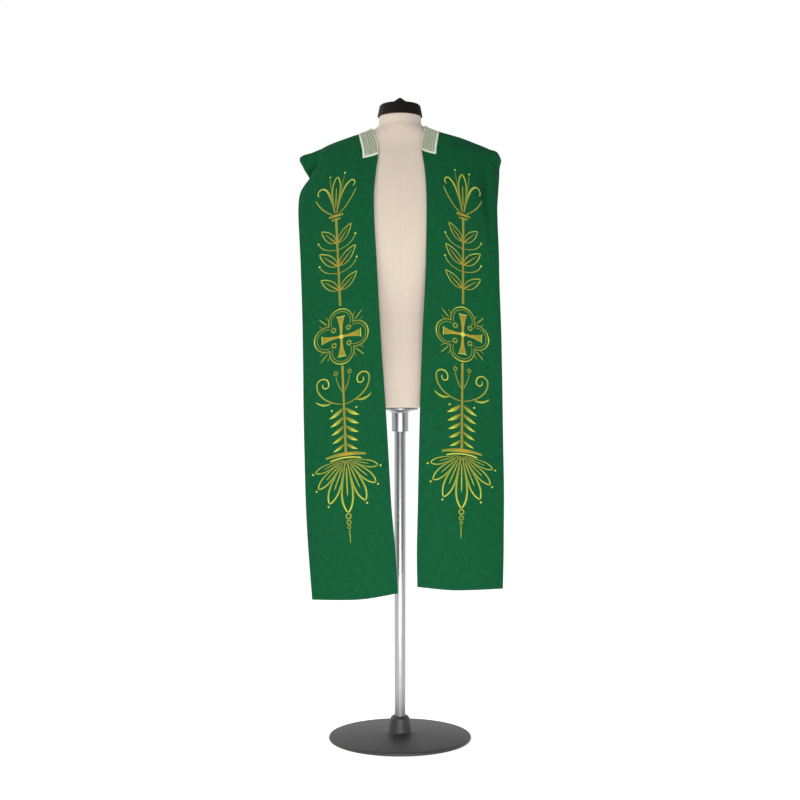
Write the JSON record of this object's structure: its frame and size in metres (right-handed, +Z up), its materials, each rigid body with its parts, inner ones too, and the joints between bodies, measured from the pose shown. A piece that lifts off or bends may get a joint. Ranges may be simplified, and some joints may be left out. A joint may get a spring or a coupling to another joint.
{
  "type": "clerical stole on dress form",
  "caption": "Green clerical stole with embroidered fronts and a lace neck band, draped over the shoulders of a plain limbless dress form on a round stand.",
  "frame": {"origin": "on the floor, under the middle of the round base", "axes": "+Z up; the front of the stole faces -Y; +X is to the right of someone looking at the front"},
  "size_m": [0.5079, 0.36, 1.6236],
  "materials": {
    "stole_cloth": "matte plain-woven green cloth, lined",
    "lace": "matte off-white cotton lace",
    "form_cover": "matte ecru jersey stretched over the form",
    "form_black": "satin black",
    "form_steel": "brushed"
  },
  "bodies": {
    "root": {"stole_left": "stole_cloth", "stole_right": "stole_cloth", "lace_left": "lace", "lace_right": "lace", "form_torso": "form_cover", "form_neck_cap": "form_black", "form_socket": "form_steel", "form_pole": "form_steel", "form_base": "form_black"}
  },
  "joints": []
}
